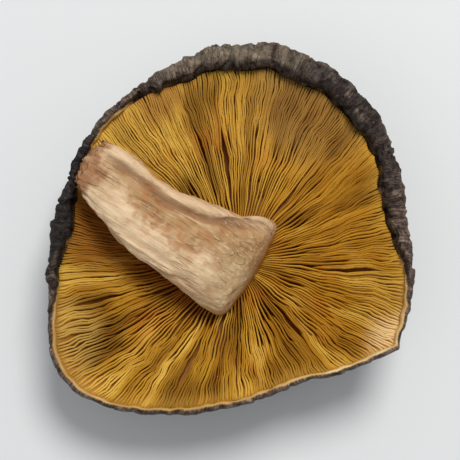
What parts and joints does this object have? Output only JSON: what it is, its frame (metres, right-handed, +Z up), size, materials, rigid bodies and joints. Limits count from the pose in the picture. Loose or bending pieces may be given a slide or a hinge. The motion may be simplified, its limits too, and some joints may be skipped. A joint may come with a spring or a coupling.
{
  "type": "dried shiitake mushroom",
  "caption": "Whole dried shiitake mushroom with a rolled wrinkled cap, golden gills and a bent stem, lying on its crown with the gills up.",
  "frame": {"origin": "centre of the footprint, on the surface that the crown of the cap rests on", "axes": "+Z up, out of the gill side of the cap; +Y towards the deeply rolled side of the margin; the stem leans towards -X and +Y"},
  "size_m": [0.0536, 0.0552, 0.0176],
  "materials": {
    "cap_skin": "matte",
    "gills": "matte",
    "stem": "matte"
  },
  "bodies": {
    "root": {"shiitake_mushroom": "cap_skin"}
  },
  "joints": []
}
